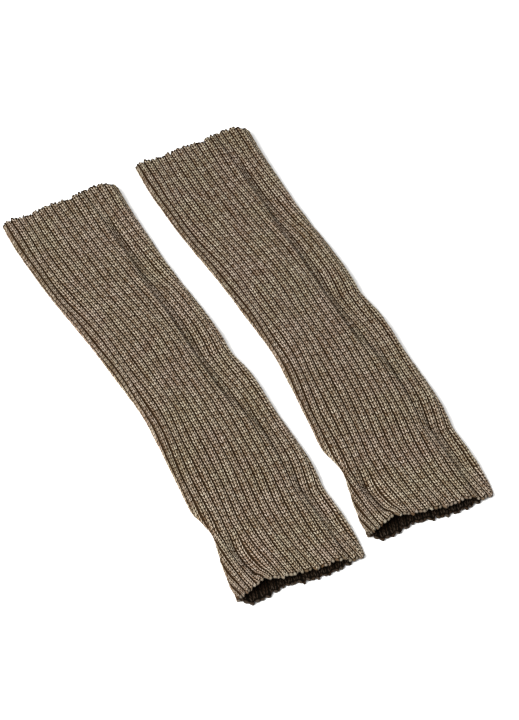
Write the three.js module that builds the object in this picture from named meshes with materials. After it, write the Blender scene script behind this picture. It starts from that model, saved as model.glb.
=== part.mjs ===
// Pair of ribbed knit leg warmers lying flat, side by side.
// Each one is a single seamless tube of rib knit, open at both ends. Laid down, its top
// layer rests over its bottom layer with the soft rolls of the two sides between them.
// Millimetres, +Z up, the near mouths toward -Y.

import * as THREE from "three";

// Sizes of one leg warmer
const LENGTH = 394;
const LAYER_HEIGHT = 9; // ground to the bottom of the grooves of the top layer
const WALL = 1.5; // knit thickness at the bottom of a groove
const RIB_COUNT = 34; // all round the tube
const RIB_RAISE = 0.8;
const RIB_SHOULDERS = [0.24, 0.76]; // where the raised part of a rib starts and ends
const PLAIN_RIBS = 5; // ribs that stay plain on each side of the groove in the middle of the back
const RIB_START = { from: 0.05, to: 0.5 }; // shares of the layer height where ribs begin and are full
const SCALLOP = 0.8; // how far a rib reaches past its grooves at a mouth
const ROWS_ALONG = 26; // steps from mouth to mouth
const END_CROWDING = 0.1; // share by which the steps crowd toward the mouths

// How far in the shape of a mouth is felt
const LIFT_REACH = 46;
const SETBACK_REACH = 60;

// The outline from above, over the crests of the ribs
const OUTLINE = [
  { along: 0, left: -47, right: 50.5 },
  { along: 16, left: -45.8, right: 52.2 },
  { along: 40, left: -42.4, right: 52.4 },
  { along: 64, left: -37.8, right: 51.2 },
  { along: 88, left: -42, right: 52.9 },
  { along: 110, left: -40.6, right: 52.7 },
  { along: 145, left: -37.9, right: 51.7 },
  { along: 187, left: -35.9, right: 50.5 },
  { along: 207, left: -37.3, right: 47.2 },
  { along: 225, left: -39.1, right: 47.6 },
  { along: 250, left: -41, right: 46.4 },
  { along: 290, left: -46.2, right: 42.9 },
  { along: 335, left: -50.4, right: 41 },
  { along: 370, left: -52.3, right: 40 },
  { along: 394, left: -51.7, right: 40.6 },
];

// The path of the ribs: where the groove in the middle of the top lies, and how wide a rib
// is beside it
const MIDDLE_GROOVE = [
  { along: 0, x: -0.8, rib: 5.8 },
  { along: 36, x: -4.6, rib: 5.85 },
  { along: 60, x: -4.6, rib: 5.85 },
  { along: 100, x: -1.3, rib: 5.95 },
  { along: 140, x: 1.5, rib: 5.8 },
  { along: 170, x: 2.9, rib: 5.5 },
  { along: 212, x: 1, rib: 5.35 },
  { along: 244, x: 0.3, rib: 5.6 },
  { along: 276, x: -2.5, rib: 5.7 },
  { along: 308, x: -7.3, rib: 5.7 },
  { along: 340, x: -10.4, rib: 5.65 },
  { along: 394, x: -12.4, rib: 5.5 },
];

// The two lips of each mouth, from the left side to the right one: how far back the top
// lip and the bottom lip lie from the end, and how much the top lip stands up or sinks
const NEAR_MOUTH = [
  { across: 0, top: 5, bottom: 6.5, lift: -1.5 },
  { across: 0.1, top: 7.2, bottom: 0.2, lift: -1 },
  { across: 0.22, top: 10.2, bottom: 1, lift: 1.8 },
  { across: 0.36, top: 7.6, bottom: 3.8, lift: 0 },
  { across: 0.52, top: 6.5, bottom: 1.6, lift: -1.6 },
  { across: 0.68, top: 4.6, bottom: 0, lift: -2.2 },
  { across: 0.8, top: 5.2, bottom: 0.8, lift: -2 },
  { across: 0.92, top: 2.4, bottom: 3.2, lift: -2.8 },
  { across: 1, top: 2.5, bottom: 3.6, lift: -3 },
];
const FAR_MOUTH = [
  { across: 0, top: 2.5, bottom: 3.5, lift: -1 },
  { across: 0.08, top: 2.5, bottom: 2, lift: -0.5 },
  { across: 0.2, top: 4.2, bottom: 2, lift: -0.2 },
  { across: 0.35, top: 2.2, bottom: 1.5, lift: 0.2 },
  { across: 0.5, top: 1.7, bottom: 1, lift: 0 },
  { across: 0.6, top: 3, bottom: 1, lift: 0.2 },
  { across: 0.7, top: -0.8, bottom: 0.5, lift: 0.8 },
  { across: 0.8, top: -1.4, bottom: 0.5, lift: 0.6 },
  { across: 0.9, top: 0, bottom: 1, lift: 0.3 },
  { across: 1, top: 6, bottom: 6, lift: 0.6 },
];

// Soft folds of the top layer; a negative depth is a trough. Each one dies out over its
// spreads to the left and the right of its line, and over its fade past both ends of it
const FOLDS = [
  {
    name: "long trough beside the right roll",
    depth: -4.8,
    leftSpread: 4.2,
    rightSpread: 14,
    fade: 18,
    line: [
      { along: 14, x: 40.5 },
      { along: 60, x: 38 },
      { along: 100, x: 36.5 },
      { along: 140, x: 36 },
      { along: 182, x: 28 },
      { along: 220, x: 26.5 },
      { along: 260, x: 27 },
      { along: 330, x: 25 },
    ],
  },
  {
    name: "shallow stretch of the long trough",
    depth: 1.8,
    leftSpread: 4.2,
    rightSpread: 12,
    fade: 16,
    line: [{ along: 98, x: 36 }, { along: 104, x: 36 }],
  },
  {
    name: "wider stretch of the long trough",
    depth: -2,
    leftSpread: 5,
    rightSpread: 6,
    fade: 12,
    line: [{ along: 260, x: 22 }, { along: 342, x: 19.5 }],
  },
  {
    name: "end of the long trough at the far mouth",
    depth: -2.4,
    leftSpread: 3.5,
    rightSpread: 8,
    fade: 14,
    line: [{ along: 352, x: 22 }, { along: 394, x: 15 }],
  },
  {
    name: "hollow behind the near mouth",
    depth: -6,
    leftSpread: 4,
    rightSpread: 8,
    fade: 10,
    line: [{ along: 16, x: -26 }, { along: 40, x: -29 }],
  },
  {
    name: "groove inside the left roll",
    depth: -1.6,
    leftSpread: 2.6,
    rightSpread: 2.6,
    fade: 16,
    line: [{ along: 200, x: -35 }, { along: 245, x: -37 }, { along: 350, x: -46.5 }],
  },
];
const DEEPEST = 5.2; // the folds sink no lower, since the top layer rests on the bottom one

// Where the two lie on the ground, by the middle of each one, and how each is turned
const HALFWAY = 187;
const PLACES = [
  { name: "leg_warmer_left", x: -63.6, y: -10, turn: 0.56 },
  { name: "leg_warmer_right", x: 45.6, y: 1, turn: -0.56 },
];

// A smooth curve through one column of a table
function curveThrough(table, key, column) {
  const keys = table.map((row) => row[key]);
  const values = table.map((row) => row[column]);
  const curve = new THREE.CubicInterpolant(keys, values, 1);
  return (place) => curve.evaluate(THREE.MathUtils.clamp(place, keys[0], keys.at(-1)))[0];
}

const ribPath = {
  groove: curveThrough(MIDDLE_GROOVE, "along", "x"),
  width: curveThrough(MIDDLE_GROOVE, "along", "rib"),
};

const outline = {
  left: curveThrough(OUTLINE, "along", "left"),
  right: curveThrough(OUTLINE, "along", "right"),
};

function lipCurves(table) {
  return {
    top: curveThrough(table, "across", "top"),
    bottom: curveThrough(table, "across", "bottom"),
    lift: curveThrough(table, "across", "lift"),
  };
}

const nearLips = lipCurves(NEAR_MOUTH);
const farLips = lipCurves(FAR_MOUTH);

// How far a point lies round the flattened tube from the middle of the underside toward the
// right side, by its share of the ribs: they run their own path along the tube
function wayRound(left, right, along, share) {
  const halfWay = right - left - LAYER_HEIGHT + (Math.PI * LAYER_HEIGHT) / 2;
  const turn = share - 0.5;
  const spare = ribPath.width(along) * RIB_COUNT - 2 * halfWay;
  const even = halfWay * (1 + 2 * turn);
  const uneven = spare * turn * (1 - 4 * turn * turn);
  const shift = (left + right) / 2 - ribPath.groove(along);
  return THREE.MathUtils.euclideanModulo(even + uneven + shift, 2 * halfWay);
}

// One point on the flattened tube, by the way round to it, with the direction that faces
// out of the tube there
function sectionPoint(left, right, way) {
  const radius = LAYER_HEIGHT / 2;
  const flat = right - left - LAYER_HEIGHT;
  const roll = Math.PI * radius;
  const middle = (left + right) / 2;
  let walk = way;
  if (walk < flat / 2) {
    return { x: middle + walk, z: 0, outX: 0, outZ: -1 };
  }
  walk -= flat / 2;
  if (walk < roll) {
    const angle = walk / radius - Math.PI / 2;
    return rollPoint(right - radius, radius, angle);
  }
  walk -= roll;
  if (walk < flat) {
    return { x: right - radius - walk, z: LAYER_HEIGHT, outX: 0, outZ: 1 };
  }
  walk -= flat;
  if (walk < roll) {
    const angle = walk / radius + Math.PI / 2;
    return rollPoint(left + radius, radius, angle);
  }
  walk -= roll;
  return { x: left + radius + walk, z: 0, outX: 0, outZ: -1 };
}

function rollPoint(centre, radius, angle) {
  const outX = Math.cos(angle);
  const outZ = Math.sin(angle);
  return { x: centre + radius * outX, z: radius + radius * outZ, outX, outZ };
}

const folds = FOLDS.map((fold) => ({
  ...fold,
  xAt: curveThrough(fold.line, "along", "x"),
  start: fold.line[0].along,
  end: fold.line.at(-1).along,
}));

// How much the soft folds raise or sink the top layer at one place
function foldLift(x, along) {
  let lift = 0;
  for (const fold of folds) {
    const offLine = x - fold.xAt(along);
    const aside = offLine / (offLine < 0 ? fold.leftSpread : fold.rightSpread);
    const past = Math.max(fold.start - along, along - fold.end, 0) / fold.fade;
    lift += fold.depth * Math.exp(-aside * aside - past * past);
  }
  return lift;
}

function fadeFromEnd(distance, reach) {
  return 1 - THREE.MathUtils.smoothstep(distance, 0, reach);
}

// One point of the wall: raise is 1 on a rib's crest and 0 in a groove, and inset is how
// far inside the groove level it lies
function wallPoint(along, share, raise, inset) {
  const left = outline.left(along) + RIB_RAISE;
  const right = outline.right(along) - RIB_RAISE;
  const base = sectionPoint(left, right, wayRound(left, right, along, share));
  const level = base.z / LAYER_HEIGHT;
  const across = (base.x - left) / (right - left);
  const height = raise * RIB_RAISE * THREE.MathUtils.smoothstep(level, RIB_START.from, RIB_START.to);
  const out = height - inset;

  const nearLift = nearLips.lift(across) * fadeFromEnd(along, LIFT_REACH);
  const farLift = farLips.lift(across) * fadeFromEnd(LENGTH - along, LIFT_REACH);
  const lift = Math.max(nearLift + farLift + foldLift(base.x, along), -DEEPEST);

  const nearBack = THREE.MathUtils.lerp(nearLips.bottom(across), nearLips.top(across), level);
  const farBack = THREE.MathUtils.lerp(farLips.bottom(across), farLips.top(across), level);
  const nearShare = 1 - Math.min(along / SETBACK_REACH, 1);
  const farShare = 1 - Math.min((LENGTH - along) / SETBACK_REACH, 1);
  const scallop = (SCALLOP * height) / RIB_RAISE;
  const nearMove = (nearBack - scallop) * nearShare * nearShare;
  const farMove = (farBack - scallop) * farShare * farShare;
  const y = along + nearMove - farMove;

  return new THREE.Vector3(base.x + out * base.outX, y, base.z + out * base.outZ + lift * level);
}

// Places round the tube that carry points: the grooves, and the shoulders of raised ribs
function outerColumns() {
  const columns = [];
  for (let rib = 0; rib < RIB_COUNT; rib += 1) {
    columns.push({ rib, share: rib / RIB_COUNT, raise: 0 });
    const raised = rib >= PLAIN_RIBS && rib < RIB_COUNT - PLAIN_RIBS;
    if (raised) {
      for (const shoulder of RIB_SHOULDERS) {
        columns.push({ rib, share: (rib + shoulder) / RIB_COUNT, raise: 1 });
      }
    }
  }
  return columns;
}

function stationsAlong() {
  const stations = [];
  for (let row = 0; row <= ROWS_ALONG; row += 1) {
    const share = row / ROWS_ALONG;
    stations.push(LENGTH * (share - END_CROWDING * Math.sin(2 * Math.PI * share)));
  }
  return stations;
}

// The closed wall of one tube: an outer skin with ribs, a plain inner skin, and a rim that
// joins the two round each mouth
function tubeGeometry() {
  const columns = outerColumns();
  const stations = stationsAlong();
  const outerCount = columns.length;
  const points = [];
  const triangles = [];

  for (const along of stations) {
    for (const column of columns) {
      points.push(wallPoint(along, column.share, column.raise, 0));
    }
  }
  const innerStart = points.length;
  for (const along of stations) {
    for (let rib = 0; rib < RIB_COUNT; rib += 1) {
      points.push(wallPoint(along, rib / RIB_COUNT, 0, WALL));
    }
  }

  const outer = (row, column) => row * outerCount + (column % outerCount);
  const inner = (row, rib) => innerStart + row * RIB_COUNT + (rib % RIB_COUNT);

  for (let row = 0; row < ROWS_ALONG; row += 1) {
    for (let column = 0; column < outerCount; column += 1) {
      const near = [outer(row, column + 1), outer(row, column)];
      const far = [outer(row + 1, column), outer(row + 1, column + 1)];
      triangles.push(...near, far[0], near[0], ...far);
    }
    for (let rib = 0; rib < RIB_COUNT; rib += 1) {
      const near = [inner(row, rib), inner(row, rib + 1)];
      const far = [inner(row + 1, rib + 1), inner(row + 1, rib)];
      triangles.push(...near, far[0], near[0], ...far);
    }
  }

  for (const row of [0, ROWS_ALONG]) {
    const flip = row === 0;
    for (let column = 0; column < outerCount; column += 1) {
      const rib = columns[column].rib;
      addTriangle(triangles, [inner(row, rib), outer(row, column + 1), outer(row, column)], flip);
      const endsRib = column + 1 === outerCount || columns[column + 1].rib > rib;
      if (endsRib) {
        addTriangle(triangles, [inner(row, rib), inner(row, rib + 1), outer(row, column + 1)], flip);
      }
    }
  }

  const geometry = new THREE.BufferGeometry().setFromPoints(points);
  geometry.setIndex(triangles);
  geometry.computeVertexNormals();
  return geometry;
}

function addTriangle(triangles, corners, flip) {
  triangles.push(...(flip ? corners.reverse() : corners));
}

// The pair
const knit = new THREE.MeshStandardMaterial({ color: 0x70645a, roughness: 0.95, metalness: 0 });
const pair = new THREE.Group();
const tube = tubeGeometry();
tube.translate(0, -HALFWAY, 0);
for (const place of PLACES) {
  const leg = new THREE.Mesh(tube, knit);
  leg.name = place.name;
  leg.position.set(place.x, place.y, 0);
  leg.rotation.z = THREE.MathUtils.degToRad(place.turn);
  pair.add(leg);
}

// The origin is on the ground, under the middle of the pair
pair.updateMatrixWorld(true);
const middleOfPair = new THREE.Box3().setFromObject(pair, true).getCenter(new THREE.Vector3());
for (const leg of pair.children) {
  leg.position.x -= middleOfPair.x;
  leg.position.y -= middleOfPair.y;
}

export default pair;
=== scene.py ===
import math

import bmesh
import bpy
import numpy as np
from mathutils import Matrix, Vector


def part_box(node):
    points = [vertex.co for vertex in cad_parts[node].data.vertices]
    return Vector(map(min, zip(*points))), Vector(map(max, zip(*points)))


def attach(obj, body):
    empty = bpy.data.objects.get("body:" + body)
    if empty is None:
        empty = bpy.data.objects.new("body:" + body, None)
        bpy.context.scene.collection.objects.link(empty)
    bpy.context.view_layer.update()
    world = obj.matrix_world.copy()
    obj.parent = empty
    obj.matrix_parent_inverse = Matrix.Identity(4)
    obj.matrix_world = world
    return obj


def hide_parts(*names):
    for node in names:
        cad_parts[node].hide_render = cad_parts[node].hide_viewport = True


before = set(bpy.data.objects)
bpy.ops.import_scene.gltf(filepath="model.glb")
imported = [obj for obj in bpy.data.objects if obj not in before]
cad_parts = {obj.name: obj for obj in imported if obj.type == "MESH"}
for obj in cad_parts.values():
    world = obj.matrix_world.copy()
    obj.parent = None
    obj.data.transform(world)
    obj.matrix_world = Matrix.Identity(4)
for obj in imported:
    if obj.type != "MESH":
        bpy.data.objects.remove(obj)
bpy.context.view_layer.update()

MM = 0.001

# Camera
# It looks down at the pair from the near left, as the photo does, and aims at the ground a
# little off the middle of the pair. The view is 720 pixels high, and one pixel of it covers
# 0.72 mm of the garment at the aim point.
PHOTO_HEIGHT = 720
PHOTO_MM_PER_PIXEL = 0.72
SENSOR_MM = 36
CAMERA_DISTANCE = 3000
CAMERA_AZIMUTH = math.radians(-25.4)
CAMERA_ELEVATION = math.radians(49.3)
AIM = Vector((10.05, -6.41, 0)) * MM

camera = bpy.data.objects.new("photo_camera", bpy.data.cameras.new("photo_camera"))
bpy.context.scene.collection.objects.link(camera)
bpy.context.scene.camera = camera
camera.data.sensor_width = SENSOR_MM
camera.data.lens = SENSOR_MM * CAMERA_DISTANCE / (PHOTO_HEIGHT * PHOTO_MM_PER_PIXEL)
toward_camera = Vector((
    math.sin(CAMERA_AZIMUTH) * math.cos(CAMERA_ELEVATION),
    -math.cos(CAMERA_AZIMUTH) * math.cos(CAMERA_ELEVATION),
    math.sin(CAMERA_ELEVATION),
))
camera.location = AIM + toward_camera * CAMERA_DISTANCE * MM
camera.rotation_euler = toward_camera.to_track_quat("Z", "Y").to_euler()
camera.data.clip_start = 0.1
camera.data.clip_end = 20

# Knitted walls
# Each leg warmer is one seamless tube of wide rib knit in taupe yarn, laid flat: two layers
# of ribs with a soft roll at each side. The wall is a closed skin of ribbed cloth, outside,
# lips and inside, coloured darker as painted shade, and the knit stitches lie on it.
LENGTH = 394
LAYER_HEIGHT = 9
WALL = 1.2
RIB_COUNT = 34
RIB_RAISE = 0.8
GROOVE_DEPTH = 0.8
INNER_RIB = 0.3
STITCH_PROUD = 0.5
FLOOR_GAP = 0.12
RIB_START = (0.05, 0.5)
ROLL_TURN = 0.275
ROLL_SPREAD = 0.06
SQUEEZE_TURN = 0.235
LEFT_SQUEEZE = 6
RIGHT_SQUEEZE = 1
LIFT_REACH = 46
SETBACK_REACH = 60
DEEPEST = 5.2

# The outline from above: place along, left edge, right edge
OUTLINE = np.array([
    (0, -47, 50.5),
    (16, -45.8, 52.2),
    (40, -42.4, 52.4),
    (64, -37.8, 51.2),
    (88, -42, 52.9),
    (110, -40.6, 52.7),
    (145, -37.9, 51.7),
    (187, -35.9, 50.5),
    (207, -37.3, 47.2),
    (225, -39.1, 47.6),
    (250, -41, 46.4),
    (290, -46.2, 42.9),
    (335, -50.4, 41),
    (370, -52.3, 40),
    (394, -51.7, 40.6),
])

# The groove down the middle of the top: place along, place across, width of a rib beside it
MIDDLE_GROOVE = np.array([
    (0, -0.8, 5.8),
    (36, -4.6, 5.85),
    (60, -4.6, 5.85),
    (100, -1.3, 5.95),
    (140, 1.5, 5.8),
    (170, 2.9, 5.5),
    (212, 1, 5.35),
    (244, 0.3, 5.6),
    (276, -2.5, 5.7),
    (308, -7.3, 5.7),
    (340, -10.4, 5.65),
    (394, -12.4, 5.5),
])

# The lips of each mouth: place across, setback of the top lip, setback of the bottom lip,
# and how much the top lip stands up or sinks
NEAR_MOUTH = np.array([
    (0, 5, 6.5, -1.5),
    (0.1, 7.2, 0.2, -1),
    (0.22, 10.2, 1, 1.8),
    (0.36, 7.6, 3.8, 0),
    (0.52, 6.5, 1.6, -1.6),
    (0.68, 4.6, 0, -2.2),
    (0.8, 5.2, 0.8, -2),
    (0.92, 2.4, 3.2, -2.8),
    (1, 2.5, 3.6, -3),
])
FAR_MOUTH = np.array([
    (0, 2.5, 3.5, -1),
    (0.08, 2.5, 2, -0.5),
    (0.2, 4.2, 2, -0.2),
    (0.35, 2.2, 1.5, 0.2),
    (0.5, 1.7, 1, 0),
    (0.6, 3, 1, 0.2),
    (0.7, -0.8, 0.5, 0.8),
    (0.8, -1.4, 0.5, 0.6),
    (0.9, 0, 1, 0.3),
    (1, 6, 6, 0.6),
])

# Soft folds of the top layer that run along it: depth, spread to the left and to the right,
# fade past the ends, and the line of the fold as places along and across
LONG_FOLDS = [
    {
        "depth": -4.8,
        "spread": (4.2, 14),
        "fade": 18,
        "line": [
            (14, 40.5), (60, 38), (100, 36.5), (140, 36), (162, 31.5),
            (182, 28), (220, 26.5), (260, 27), (300, 26), (330, 25),
        ],
    },
    {"depth": 1.8, "spread": (4.2, 12), "fade": 16, "line": [(98, 36), (104, 36)]},
    {"depth": -2.4, "spread": (3.5, 8), "fade": 14, "line": [(352, 22), (372, 18.5), (394, 15)]},
    {"depth": -6, "spread": (4, 8), "fade": 10, "line": [(16, -26), (26, -27), (40, -29)]},
    {"depth": -2.4, "spread": (2.6, 6), "fade": 12, "line": [(252, 23), (300, 21), (342, 20)]},
    {"depth": -2.2, "spread": (1.8, 3), "fade": 14, "line": [(176, 25.5), (220, 23.5), (260, 23.5), (300, 21), (345, 21)]},
    {"depth": -1.2, "spread": (2.6, 2.6), "fade": 14, "line": [(262, 14), (288, 12.5)]},
    {"depth": -1.6, "spread": (2.6, 2.6), "fade": 16, "line": [(200, -35), (245, -37), (300, -41.5), (350, -46.5)]},
    {"depth": -1.4, "spread": (2, 2), "fade": 16, "line": [(120, -35), (170, -32), (190, -31)]},
    {"depth": -1.3, "spread": (2.2, 2.2), "fade": 8, "line": [(8, 45.5), (30, 44)]},
    {"depth": 0.8, "spread": (7, 7), "fade": 30, "line": [(90, -20), (150, -16), (210, -18)]},
]

# Soft creases that run across the top layer: the same, with places across and along
CROSS_FOLDS = [
    {"depth": -1.3, "spread": (6, 6), "fade": 9, "line": [(-40, 62), (-30, 61), (-20, 67)]},
    {"depth": -1.3, "spread": (5, 5), "fade": 8, "line": [(30, 76), (42, 69), (52, 68)]},
    {"depth": -1.1, "spread": (5, 5), "fade": 8, "line": [(28, 217), (40, 210), (50, 205)]},
    {"depth": -0.8, "spread": (6, 6), "fade": 8, "line": [(26, 300), (34, 292), (44, 285)]},
    {"depth": -0.6, "spread": (8, 8), "fade": 10, "line": [(-52, 330), (-40, 322), (-30, 318)]},
]


def smooth_curve(table, column, places):
    """The smooth curve through one column of a table, read at many places."""
    keys = table[:, 0]
    values = table[:, column]
    slopes = np.gradient(values, keys)
    places = np.clip(places, keys[0], keys[-1])
    row = np.clip(np.searchsorted(keys, places, side="right") - 1, 0, len(keys) - 2)
    step = keys[row + 1] - keys[row]
    t = (places - keys[row]) / step
    start = (1 + 2 * t) * (1 - t) ** 2 * values[row] + t * (1 - t) ** 2 * step * slopes[row]
    end = t * t * (3 - 2 * t) * values[row + 1] + t * t * (t - 1) * step * slopes[row + 1]
    return start + end


def smooth_step(value, low, high):
    t = np.clip((value - low) / (high - low), 0, 1)
    return t * t * (3 - 2 * t)


def on_left_roll(share):
    """1 where the tube rolls over at its left and its ribs are squeezed, 0 elsewhere."""
    turn = share % 1 - 0.5
    return np.exp(-((turn - SQUEEZE_TURN) / ROLL_SPREAD) ** 2)


def rib_swell(share):
    """Height of the ribs round the tube: 0 in a groove and 1 on a rib, with a slight dip
    between its two columns of stitches."""
    from_middle = np.abs(2 * (share * RIB_COUNT % 1) - 1)
    return 1 - from_middle ** 3 - 0.12 * np.exp(-((from_middle / 0.16) ** 2))


def outer_face(share):
    """How far the ribbed outside stands out of the plain tube."""
    return rib_swell(share) * (RIB_RAISE + GROOVE_DEPTH) - GROOVE_DEPTH


def inner_face(share):
    """How far in the ribbed inside lies: its ribs are the backs of the outer grooves."""
    return -WALL - INNER_RIB * rib_swell(share + 0.5 / RIB_COUNT)


def fold_lift(folds, way, off):
    """Rise or sink of the top layer from one set of folds, by the place along a fold's way
    and the place off it."""
    lift = 0
    for fold in folds:
        line = np.array(fold["line"], float)
        off_line = off - smooth_curve(line, 1, way)
        off_line = off_line / np.where(off_line < 0, *fold["spread"])
        past_end = np.maximum(line[0, 0] - way, way - line[-1, 0])
        past_end = np.maximum(past_end, 0) / fold["fade"]
        lift = lift + fold["depth"] * np.exp(-off_line ** 2 - past_end ** 2)
    return lift


def lip_unevenness(share):
    """How far a lip draws back at a place round the tube, more at the grooves."""
    turn = 2 * math.pi * share
    uneven = 0.6 * np.sin(23 * turn) + 0.5 * np.sin(41 * turn + 1) + 0.35 * np.sin(57 * turn + 2)
    return uneven - rib_swell(share)


def lie_of_cloth(along, share, out):
    """Where a point of the cloth lies, by its place along the tube, its share of the way
    round from the middle of the underside, and how far it stands out of the plain tube."""
    left = smooth_curve(OUTLINE, 1, along) + RIB_RAISE
    right = smooth_curve(OUTLINE, 2, along) - RIB_RAISE
    radius = LAYER_HEIGHT / 2
    flat = right - left - LAYER_HEIGHT
    half_way = flat + math.pi * radius
    middle = (left + right) / 2

    turn = share % 1 - 0.5
    rib_width = smooth_curve(MIDDLE_GROOVE, 2, along)
    spare = (rib_width * RIB_COUNT - 2 * half_way) * turn * (1 - 4 * turn ** 2)
    sway = 0.4 * np.sin(along / 17 + 9 * np.cos(2 * math.pi * share))
    sway = sway + 0.2 * np.sin(along / 9.3 + 13 * np.sin(2 * math.pi * share))
    squeeze = RIGHT_SQUEEZE * np.exp(-((turn + ROLL_TURN) / ROLL_SPREAD) ** 2)
    squeeze = squeeze - LEFT_SQUEEZE * np.exp(-((turn - ROLL_TURN) / ROLL_SPREAD) ** 2)
    from_top = 2 * half_way * turn + spare + sway + squeeze
    from_top = from_top + middle - smooth_curve(MIDDLE_GROOVE, 1, along)
    from_top = (from_top + half_way) % (2 * half_way) - half_way
    side = np.where(from_top < 0, 1, -1)
    walk = half_way - np.abs(from_top)

    angle = np.clip((walk - flat / 2) / radius, 0, math.pi)
    past_roll = np.maximum(walk - flat / 2 - math.pi * radius, 0)
    aside = np.minimum(walk, flat / 2) + radius * np.sin(angle) - past_roll
    base_x = middle + side * aside
    base_z = radius - radius * np.cos(angle)

    level = base_z / LAYER_HEIGHT
    across = (base_x - left) / (right - left)
    grown = smooth_step(level, *RIB_START)
    height = out - (RIB_RAISE + STITCH_PROUD + FLOOR_GAP) * (1 - grown)

    lift = smooth_curve(NEAR_MOUTH, 3, across) * (1 - smooth_step(along, 0, LIFT_REACH))
    lift += smooth_curve(FAR_MOUTH, 3, across) * (1 - smooth_step(LENGTH - along, 0, LIFT_REACH))
    lift += fold_lift(LONG_FOLDS, along, base_x) + fold_lift(CROSS_FOLDS, base_x, along)
    lift += 0.25 * np.sin(along / 13 + base_x / 11) * np.sin(along / 31 - base_x / 7)
    lift = np.maximum(lift, -DEEPEST)

    near_back = smooth_curve(NEAR_MOUTH, 2, across) * (1 - level) + smooth_curve(NEAR_MOUTH, 1, across) * level
    far_back = smooth_curve(FAR_MOUTH, 2, across) * (1 - level) + smooth_curve(FAR_MOUTH, 1, across) * level
    near_share = np.clip(1 - along / SETBACK_REACH, 0, 1)
    far_share = np.clip(1 - (LENGTH - along) / SETBACK_REACH, 0, 1)
    near_back = near_back + lip_unevenness(share)
    far_back = far_back + lip_unevenness(share + 0.37)
    y = along + near_back * near_share ** 2 - far_back * far_share ** 2

    x = base_x + height * side * np.sin(angle)
    z = base_z - height * np.cos(angle) + lift * level
    return np.stack([x, y, z], axis=1)


# How each tube is turned on the ground; its place comes from its node's box
TURNS = {"leg_warmer_left": 0.56, "leg_warmer_right": -0.56}


def lay_down(points, node):
    """Turn the points of a tube as its node is turned and move them into the node's box."""
    turn = math.radians(TURNS[node])
    turned = np.empty_like(points)
    turned[:, 0] = points[:, 0] * math.cos(turn) - points[:, 1] * math.sin(turn)
    turned[:, 1] = points[:, 0] * math.sin(turn) + points[:, 1] * math.cos(turn)
    turned[:, 2] = points[:, 2]
    return turned * MM + ORIGINS[node]


def read_points(mesh):
    points = np.empty(len(mesh.vertices) * 3)
    mesh.vertices.foreach_get("co", points)
    return points.reshape(-1, 3)


def write_points(mesh, points):
    mesh.vertices.foreach_set("co", points.ravel())
    mesh.update()


def add_values(mesh, name, values):
    """Give every vertex of a mesh a number that a material can read."""
    mesh.attributes.new(name, "FLOAT", "POINT").data.foreach_set("value", values)


# The edge of the plain tube, used to find where each tube starts
edge_along, edge_share = np.meshgrid(np.linspace(0, LENGTH, 200), np.linspace(0, 1, 200))
edge_points = lie_of_cloth(edge_along.ravel(), edge_share.ravel(), RIB_RAISE * np.ones(edge_along.size))
ORIGINS = {}
for node, turn in TURNS.items():
    ORIGINS[node] = np.zeros(3)
    spread = lay_down(edge_points, node)
    low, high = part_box(node)
    middle = (np.array(low) + np.array(high)) / 2
    ORIGINS[node] = middle - (spread.min(axis=0) + spread.max(axis=0)) / 2
    ORIGINS[node][2] = 0

WALL_COLUMNS = RIB_COUNT * 6
OUTSIDE_ROWS = 86
LIP_ROWS = 6
LIP_SHORT = 0.5
INSIDE_ROWS = 34


def knitted_wall(name, node):
    """The closed wall of one tube: a flat grid wrapped round the tube one way, and up the
    outside, over the lip and back down the inside the other way."""
    rows = OUTSIDE_ROWS + INSIDE_ROWS + 2 * LIP_ROWS
    bm = bmesh.new()
    bmesh.ops.create_grid(bm, x_segments=WALL_COLUMNS, y_segments=rows, size=0.5)
    mesh = bpy.data.meshes.new(name)
    bm.to_mesh(mesh)
    grid = read_points(mesh)
    share = grid[:, 0] + 0.5
    row = np.rint((grid[:, 1] + 0.5) * rows)

    up = np.clip(row / OUTSIDE_ROWS, 0, 1)
    far_lip = np.clip((row - OUTSIDE_ROWS) / LIP_ROWS, 0, 1) * math.pi
    down = np.clip((row - OUTSIDE_ROWS - LIP_ROWS) / INSIDE_ROWS, 0, 1)
    near_lip = np.clip((row - OUTSIDE_ROWS - LIP_ROWS - INSIDE_ROWS) / LIP_ROWS, 0, 1) * math.pi
    inner_share = (1 - np.cos(far_lip)) / 2 * (1 + np.cos(near_lip)) / 2
    along = LIP_SHORT + (LENGTH - 2 * LIP_SHORT) * (up - down)
    along = along + WALL / 2 * (np.sin(far_lip) - np.sin(near_lip))
    out = outer_face(share) * (1 - inner_share) + inner_face(share) * inner_share
    write_points(mesh, lay_down(lie_of_cloth(along, share, out), node))
    add_values(mesh, "inside", inner_share)
    add_values(mesh, "place_along", along)

    bm.clear()
    bm.from_mesh(mesh)
    bmesh.ops.remove_doubles(bm, verts=bm.verts, dist=0.02 * MM)
    bmesh.ops.recalc_face_normals(bm, faces=bm.faces)
    bm.to_mesh(mesh)
    bm.free()
    mesh.shade_smooth()
    wall = bpy.data.objects.new(name, mesh)
    bpy.context.scene.collection.objects.link(wall)
    return wall


def linear_colour(hex_code):
    """An sRGB hex value as linear red, green, blue and alpha."""
    channels = [int(hex_code[i:i + 2], 16) / 255 for i in (1, 3, 5)]
    return [c / 12.92 if c <= 0.04045 else ((c + 0.055) / 1.055) ** 2.4 for c in channels] + [1]


def add_node(material, kind, links=(), **settings):
    """Add one node: settings are its own properties or its input values, and links are
    pairs of an input and the output that feeds it."""
    node = material.node_tree.nodes.new(kind)
    for key, value in settings.items():
        if hasattr(node, key):
            setattr(node, key, value)
        else:
            node.inputs[key.replace("_", " ")].default_value = value
    for socket, source in links:
        material.node_tree.links.new(node.inputs[socket], source)
    return node
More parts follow.
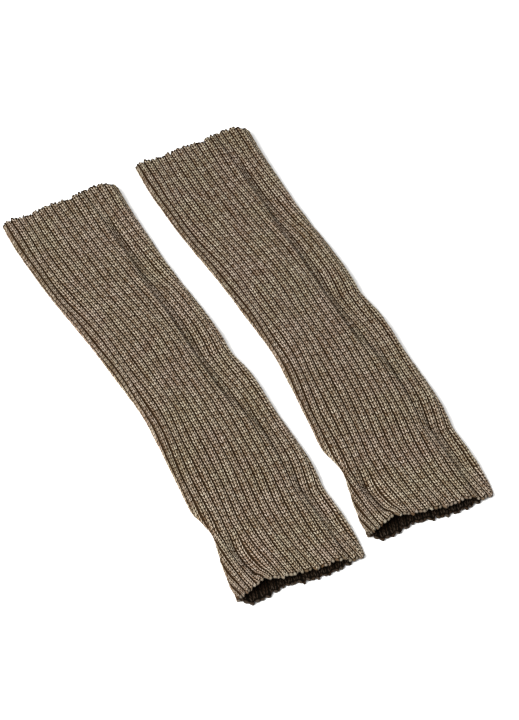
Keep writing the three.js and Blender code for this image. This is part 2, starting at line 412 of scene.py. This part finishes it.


# Soft acrylic and wool yarn, loosely spun and knitted. It scatters light from its surface
# fibres, so it has no highlights.
# Painted shade: the wall under the stitches is nearly black in the grooves and darker still inside the tube.
GROOVE_PAINTED_SHADE = "#25190d"
INSIDE_PAINTED_SHADE = "#070503"
PURL_BUMP_MM = 0.35
COURSE_MM = LENGTH / 132


def knit_ground_material():
    """Taupe yarn deep in the knit, coloured as painted shade: nearly black in the grooves and
    darker still on the inside, with the cross bars that the backs of the stitches make."""
    material = bpy.data.materials.new("knit_ground_painted_shade")
    material.use_nodes = True
    shader = material.node_tree.nodes["Principled BSDF"]
    inside = add_node(material, "ShaderNodeAttribute", attribute_name="inside")
    tint = add_node(material, "ShaderNodeMixRGB", [("Fac", inside.outputs["Fac"])],
                    Color1=linear_colour(GROOVE_PAINTED_SHADE), Color2=linear_colour(INSIDE_PAINTED_SHADE))
    material.node_tree.links.new(shader.inputs["Base Color"], tint.outputs["Color"])
    along = add_node(material, "ShaderNodeAttribute", attribute_name="place_along")
    course = add_node(material, "ShaderNodeMath", [(0, along.outputs["Fac"])], operation="MULTIPLY")
    course.inputs[1].default_value = 2 * math.pi / COURSE_MM
    bars = add_node(material, "ShaderNodeMath", [(0, course.outputs[0])], operation="SINE")
    bump = add_node(material, "ShaderNodeBump", [("Height", bars.outputs[0])],
                    Strength=0.8, Distance=PURL_BUMP_MM * MM)
    material.node_tree.links.new(shader.inputs["Normal"], bump.outputs["Normal"])
    shader.inputs["Roughness"].default_value = 0.95
    shader.inputs["Specular IOR Level"].default_value = 0.02
    return material


ground = knit_ground_material()
for node in TURNS:
    wall = knitted_wall(node.replace("leg_warmer", "knitted_wall"), node)
    wall.data.materials.append(ground)
    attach(wall, "root")
    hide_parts(node)

# Knit stitches
# Each rib is two columns of knit stitches, and each stitch shows as a V of two yarn legs.
# One V is copied into a flat swatch, and the swatch is wrapped round the tube.
COLUMNS_PER_RIB = 2
COURSES = 132
COLUMN_PLACES = (0.31, 0.69)
COLUMN_WIDTH = 0.365
LEG_ASIDE = 0.36
LEG_LEAN = 0.19
LEG_HALF_WIDTH = 0.21
LEG_HALF_LENGTH = 0.7
LEG_HALF_THICKNESS = 0.55
LEG_SINK = 0.05


def one_stitch(segments, rings):
    """A V of two yarn legs, in columns across and courses along, one millimetre high."""
    bm = bmesh.new()
    for side in (-1, 1):
        leg = bmesh.ops.create_uvsphere(bm, u_segments=segments, v_segments=rings, radius=1)["verts"]
        for vert in leg:
            x, y, z = vert.co
            vert.co.x = side * LEG_ASIDE + x * LEG_HALF_WIDTH + side * z * LEG_LEAN
            vert.co.y = z * LEG_HALF_LENGTH
            vert.co.z = y * LEG_HALF_THICKNESS
    bmesh.ops.recalc_face_normals(bm, faces=bm.faces)
    mesh = bpy.data.meshes.new("stitch")
    bm.to_mesh(mesh)
    bm.free()
    return mesh


def swatch_of_stitches(stitch, columns, courses):
    """A flat swatch: the stitch copied up a column, and the column copied across. Returns its
    mesh, its points, and the column and course of each point."""
    size = len(stitch.vertices)
    swatch = bpy.data.objects.new("swatch", stitch)
    bpy.context.scene.collection.objects.link(swatch)
    for count, step in ((courses, (0, 1, 0)), (columns, (1, 0, 0))):
        array = swatch.modifiers.new("copies", "ARRAY")
        array.count = count
        array.use_relative_offset = False
        array.use_constant_offset = True
        array.constant_offset_displace = step
    depsgraph = bpy.context.evaluated_depsgraph_get()
    mesh = bpy.data.meshes.new_from_object(swatch.evaluated_get(depsgraph))
    bpy.data.objects.remove(swatch)
    points = read_points(mesh)
    copy = np.arange(len(points)) // size
    return mesh, points, copy // courses, copy % courses


def yarn_rise_painted_shade(flat, course):
    """How far the yarn has come up out of the knit: 1 on top of a leg, less at its sides,
    and below 0 at its ends. It sets the painted shade: the lower the yarn, the darker it is coloured."""
    return 0.05 + 1.9 * flat[:, 2] - ((flat[:, 1] - course) / LEG_HALF_LENGTH) ** 4


def finish_stitches(name, mesh, rise, random, legs):
    """Paint shade on the yarn by how high it lies, vary its tone at random from leg to leg
    and paint every second leg lighter, and make the object.
    """
    add_values(mesh, "yarn_rise_painted_shade", rise)
    # Painted light: every second leg, the left leg of each V or every second loop of an edge, is coloured lighter;
    # the rest of the tone differs at random.
    shade = 0.6 * random.random(legs) ** 1.4 + 0.4 * (np.arange(legs) % 2 == 0)
    add_values(mesh, "yarn_heather_and_painted_light", np.repeat(shade, len(mesh.vertices) // legs))
    mesh.name = name
    mesh.shade_smooth()
    piece = bpy.data.objects.new(name, mesh)
    bpy.context.scene.collection.objects.link(piece)
    return piece


def rib_stitches(name, node, first_rib, ribs, seed):
    """The stitches of some of the ribs, along the whole tube."""
    columns = ribs * COLUMNS_PER_RIB
    mesh, flat, column, course = swatch_of_stitches(one_stitch(4, 3), columns, COURSES)
    random = np.random.default_rng(seed)
    nudge = random.normal(0, 1, (columns * COURSES, 3))[column * COURSES + course]
    x = flat[:, 0] - column + 0.03 * nudge[:, 0]
    rib = first_rib + column // COLUMNS_PER_RIB
    y = flat[:, 1] + 0.04 * nudge[:, 1] + 0.5 * (rib % 2)
    narrow = 1 - 0.25 * on_left_roll((rib + 0.5) / RIB_COUNT)
    place = np.array(COLUMN_PLACES)[column % COLUMNS_PER_RIB] + x * COLUMN_WIDTH
    share = (rib + 0.5 + (place - 0.5) * narrow) / RIB_COUNT
    along = LENGTH * np.clip((y + 0.25) / COURSES, 0, 1)
    out = outer_face(share) + flat[:, 2] - LEG_SINK + np.clip(0.1 * nudge[:, 2], -0.2, 0.1)
    write_points(mesh, lay_down(lie_of_cloth(along, share, out), node))
    return finish_stitches(name, mesh, yarn_rise_painted_shade(flat, course), random, 2 * columns * COURSES)


YARN_LIGHT = "#ede0ca"
YARN_MID = "#7e654a"
# Painted shade: the colour of the yarn where it lies low between the stitches.
YARN_PAINTED_SHADE = "#150c06"
OLIVE_TINT = "#fdfff8"
MAUVE_TINT = "#fffafd"


def yarn_material():
    """Taupe yarn of the stitches that face out, with painted light and shade: light on the round
    of each leg, painted shade where it dives into the knit, every second leg painted lighter,
    and uneven from loop to loop."""
    material = bpy.data.materials.new("taupe_heather_yarn_painted_light_and_shade")
    material.use_nodes = True
    shader = material.node_tree.nodes["Principled BSDF"]
    shade = add_node(material, "ShaderNodeAttribute", attribute_name="yarn_heather_and_painted_light")
    rise = add_node(material, "ShaderNodeAttribute", attribute_name="yarn_rise_painted_shade")
    # Tone that differs at random from leg to leg, plus painted light on every second leg.
    heather = add_node(material, "ShaderNodeMixRGB", [("Fac", shade.outputs["Fac"])],
                       Color1=linear_colour(YARN_MID), Color2=linear_colour(YARN_LIGHT))
    yarn_colour = add_node(material, "ShaderNodeMixRGB",
                           [("Fac", rise.outputs["Fac"]), ("Color2", heather.outputs["Color"])],
                           Color1=linear_colour(YARN_PAINTED_SHADE))
    place = add_node(material, "ShaderNodeTexCoord")
    patches = add_node(material, "ShaderNodeTexNoise", [("Vector", place.outputs["Object"])], Scale=45.0)
    tint = add_node(material, "ShaderNodeValToRGB", [("Fac", patches.outputs["Fac"])])
    tint.color_ramp.elements[0].position = 0.35
    tint.color_ramp.elements[0].color = linear_colour(OLIVE_TINT)
    tint.color_ramp.elements[1].position = 0.65
    tint.color_ramp.elements[1].color = linear_colour(MAUVE_TINT)
    colour = add_node(material, "ShaderNodeMixRGB",
                      [("Color1", yarn_colour.outputs["Color"]), ("Color2", tint.outputs["Color"])],
                      blend_type="MULTIPLY", Fac=1.0)
    material.node_tree.links.new(shader.inputs["Base Color"], colour.outputs["Color"])
    fibres = add_node(material, "ShaderNodeTexNoise", [("Vector", place.outputs["Object"])],
                      Scale=2500.0, Detail=2.0)
    fuzz = add_node(material, "ShaderNodeBump", [("Height", fibres.outputs["Fac"])],
                    Strength=0.3, Distance=0.0003)
    material.node_tree.links.new(shader.inputs["Normal"], fuzz.outputs["Normal"])
    shader.inputs["Roughness"].default_value = 0.9
    shader.inputs["Specular IOR Level"].default_value = 0.02
    return material


yarn = yarn_material()
pieces_on = {node: [] for node in TURNS}


def add_stitches(piece, node):
    piece.data.materials.append(yarn)
    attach(piece, "root")
    pieces_on[node].append(piece)


TOP_RIBS = 17
FIRST_TOP_RIB = 8
for number, node in enumerate(TURNS):
    side = node.replace("leg_warmer_", "")
    for part, first_rib, ribs in (
        ("top", FIRST_TOP_RIB, TOP_RIBS),
        ("under", FIRST_TOP_RIB + TOP_RIBS, RIB_COUNT - TOP_RIBS),
    ):
        seed = 10 * number + first_rib
        add_stitches(rib_stitches(f"stitches_{part}_{side}", node, first_rib, ribs, seed), node)

# Mouths of the tubes
# Each mouth ends in a bound-off edge: every column of stitches ends in a fat loop that is
# folded over the lip, so the edge is bumpy. Inside it the backs of the last courses show.
EDGE_RADIUS = 1.1
EDGE_BACK = 0.5
EDGE_WRAP = math.radians(125)
EDGE_YARN = 1.1
INSIDE_COURSES = 6
# Painted shade: the inside stitches are nearly black and darker course by course, and the loops of the lower lips
# are darker.
INSIDE_STITCH_PAINTED_SHADE = 0.05
UNDER_LIP_PAINTED_SHADE = 0.8
INSIDE_STITCH_SHADE_FADE = 0.45


def one_loop():
    """A fat round loop, as wide as a column and one course long."""
    bm = bmesh.new()
    loop = bmesh.ops.create_uvsphere(bm, u_segments=8, v_segments=6, radius=1)["verts"]
    for vert in loop:
        x, y, z = vert.co
        vert.co = (x * 0.52, z * 0.6, y * 0.5)
    bmesh.ops.recalc_face_normals(bm, faces=bm.faces)
    mesh = bpy.data.meshes.new("loop")
    bm.to_mesh(mesh)
    bm.free()
    return mesh


def bound_off_edge(name, node, far, seed):
    """The loops round one mouth, each laid over the lip from outside to inside."""
    columns = RIB_COUNT * COLUMNS_PER_RIB
    mesh, flat, column, course = swatch_of_stitches(one_loop(), columns, 1)
    random = np.random.default_rng(seed)
    nudge = random.normal(0, 1, (columns, 3))[column]
    x = flat[:, 0] - column + 0.06 * nudge[:, 0]
    share = (column + 0.5 + x) / columns
    round_lip = -flat[:, 1] * EDGE_WRAP
    reach = EDGE_RADIUS + flat[:, 2] * EDGE_YARN + np.clip(0.15 * nudge[:, 2], -0.2, 0.25)
    middle = (outer_face(share) + inner_face(share)) / 2
    outward = 1 if far else -1
    along = (LENGTH if far else 0) + outward * (reach * np.cos(round_lip) - EDGE_BACK)
    out = middle + reach * 1.15 * np.sin(round_lip)
    write_points(mesh, lay_down(lie_of_cloth(along, share, out), node))
    # Painted shade: the half of each loop that turns inside is darker, and the loops on the lower lip darker still.
    rise = (0.05 + 0.6 * flat[:, 2]) * (1 - 0.5 * smooth_step(flat[:, 1], -0.2, 0.3))
    rise = rise * (1 - UNDER_LIP_PAINTED_SHADE * smooth_step(np.abs(share % 1 - 0.5), 0.2, 0.3))
    return finish_stitches(name, mesh, rise, random, columns)


def inside_stitches(name, node, far, seed):
    """The backs of the last courses, on the inside of one mouth."""
    columns = RIB_COUNT * COLUMNS_PER_RIB
    mesh, flat, column, course = swatch_of_stitches(one_stitch(4, 3), columns, INSIDE_COURSES)
    random = np.random.default_rng(seed)
    nudge = random.normal(0, 1, (columns * INSIDE_COURSES, 3))[column * INSIDE_COURSES + course]
    x = flat[:, 0] - column + 0.05 * nudge[:, 0]
    place = np.array(COLUMN_PLACES)[column % COLUMNS_PER_RIB] + x * COLUMN_WIDTH
    share = (0.5 + column // COLUMNS_PER_RIB + place) / RIB_COUNT
    deep = (flat[:, 1] + 0.9 + 0.07 * nudge[:, 1]) * COURSE_MM
    along = LENGTH - deep if far else deep
    out = inner_face(share) - 0.6 * flat[:, 2]
    write_points(mesh, lay_down(lie_of_cloth(along, share, out), node))
    mesh.flip_normals()
    # Painted shade: the inside stitches are coloured nearly black, darker the deeper they lie.
    rise = yarn_rise_painted_shade(flat, course) * INSIDE_STITCH_PAINTED_SHADE * INSIDE_STITCH_SHADE_FADE ** course
    return finish_stitches(name, mesh, rise, random, 2 * columns * INSIDE_COURSES)


for number, node in enumerate(TURNS):
    side = node.replace("leg_warmer_", "")
    for end, far in (("near", False), ("far", True)):
        seed = 100 + 10 * number + far
        add_stitches(bound_off_edge(f"bound_off_edge_{end}_{side}", node, far, seed), node)
        add_stitches(inside_stitches(f"inside_stitches_{end}_{side}", node, far, seed), node)

# Floor and light
# A plain white floor, a broad soft light from the left and a weaker one from the right.
FLOOR_SHADE = "#fbfbfa"
ROOM_LIGHT = 0.74


def floor_material():
    """Matt white paper."""
    material = bpy.data.materials.new("white_paper")
    material.use_nodes = True
    shader = material.node_tree.nodes["Principled BSDF"]
    shader.inputs["Base Color"].default_value = linear_colour(FLOOR_SHADE)
    shader.inputs["Roughness"].default_value = 0.9
    return material


bm = bmesh.new()
bmesh.ops.create_grid(bm, x_segments=1, y_segments=1, size=6)
floor_mesh = bpy.data.meshes.new("floor")
bm.to_mesh(floor_mesh)
bm.free()
floor = bpy.data.objects.new("floor", floor_mesh)
floor_mesh.materials.append(floor_material())
bpy.context.scene.collection.objects.link(floor)

world = bpy.data.worlds.new("soft_room")
bpy.context.scene.world = world
world.use_nodes = True
world.node_tree.nodes["Background"].inputs["Color"].default_value = (1, 1, 1, 1)
world.node_tree.nodes["Background"].inputs["Strength"].default_value = ROOM_LIGHT


def soft_light(name, place, size, power):
    light = bpy.data.lights.new(name, "AREA")
    light.size = size
    light.energy = power
    lamp = bpy.data.objects.new(name, light)
    lamp.location = place
    lamp.rotation_euler = Vector(place).to_track_quat("Z", "Y").to_euler()
    bpy.context.scene.collection.objects.link(lamp)


soft_light("main_light", (-1.4, -0.5, 1.5), 1.4, 106)
soft_light("fill_light", (1.2, -0.8, 1.4), 1.2, 2)
bpy.context.scene.view_settings.view_transform = "Standard"

bpy.context.view_layer.update()
